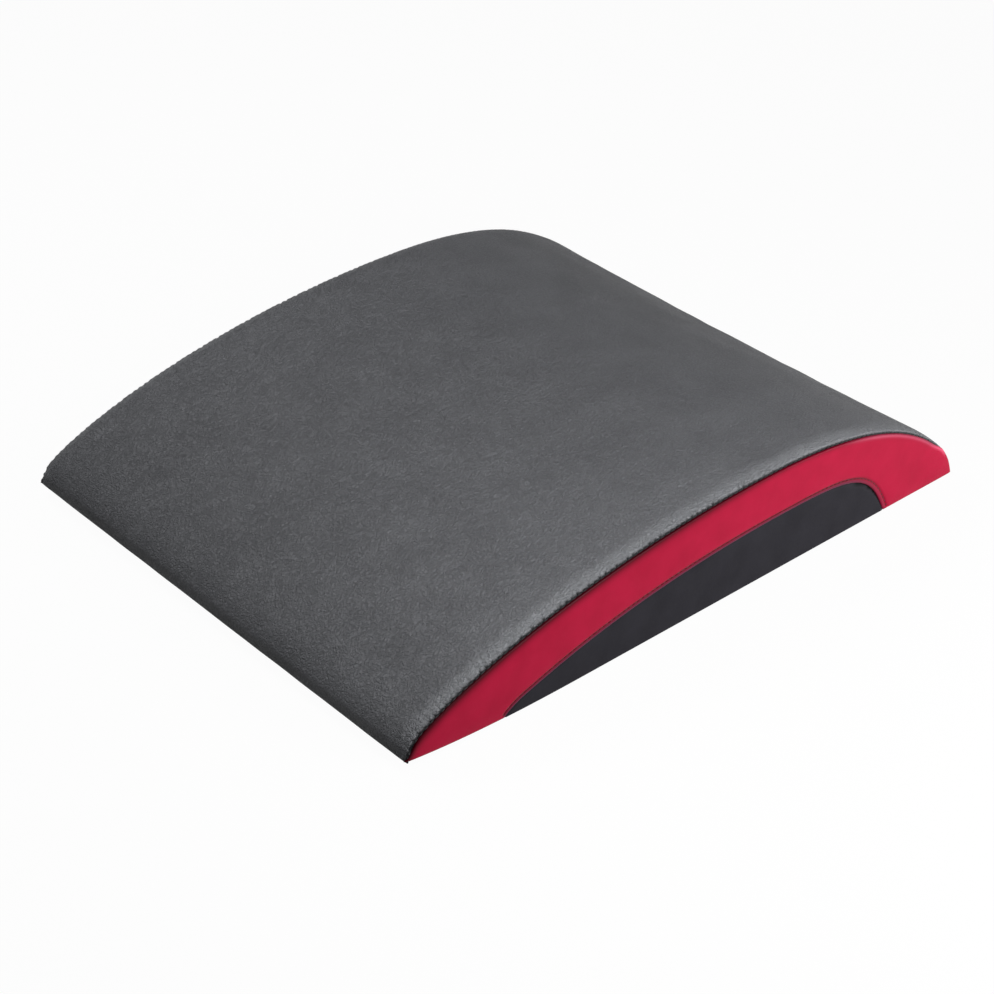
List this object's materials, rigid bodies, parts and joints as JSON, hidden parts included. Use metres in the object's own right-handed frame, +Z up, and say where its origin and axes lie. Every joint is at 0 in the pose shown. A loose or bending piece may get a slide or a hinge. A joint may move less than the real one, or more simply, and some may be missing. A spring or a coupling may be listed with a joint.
{
  "type": "ab mat",
  "caption": "Curved foam wedge for sit-ups in a sewn leatherette cover: black top, coloured side panels with dark crescent insets, zip across the thick end.",
  "frame": {"origin": "on the floor under the middle of the mat's bounding box", "axes": "+X across the width, -Y towards the thin end, +Y towards the thick end, +Z up"},
  "size_m": [0.3, 0.3999, 0.0667],
  "materials": {
    "foam": "matte",
    "black_leather": "satin",
    "red_leather": "satin",
    "inset_leather": "satin",
    "grip_fabric": "matte",
    "thread": "matte",
    "zip_tape": "matte",
    "zip_metal": "satin"
  },
  "bodies": {
    "mat": {"foam_core": "foam", "top_cover": "black_leather", "base_panel": "grip_fabric", "side_panel_right": "red_leather", "side_panel_left": "red_leather", "side_inset_right": "inset_leather", "side_inset_left": "inset_leather", "top_seam_thread_right": "thread", "top_seam_thread_left": "thread", "inset_seam_thread_right": "thread", "inset_seam_thread_left": "thread", "base_seam_thread_right": "thread", "base_seam_thread_left": "thread", "front_seam_thread": "thread", "zip_tape_upper": "zip_tape", "zip_tape_lower": "zip_tape", "zip_seam_thread_upper": "thread", "zip_seam_thread_lower": "thread", "zip_top_stop_upper": "zip_metal", "zip_top_stop_lower": "zip_metal", "zip_bottom_stop": "zip_metal"},
    "slider": {"zip_slider": "zip_metal"},
    "pull": {"zip_pull": "zip_metal"}
  },
  "joints": [
    {"name": "zip_slide", "type": "slide", "parent": "mat", "child": "slider", "axis": [-1, 0, 0], "range_m": [0, 0.251], "deforming": ["zip_tape_upper", "zip_tape_lower"]},
    {"name": "pull_swing", "type": "hinge", "parent": "slider", "child": "pull", "pos_m": [0.1266, 0.19505, 0.01158], "axis": [0, 0.5, -0.866], "range_deg": [0, 172]}
  ]
}
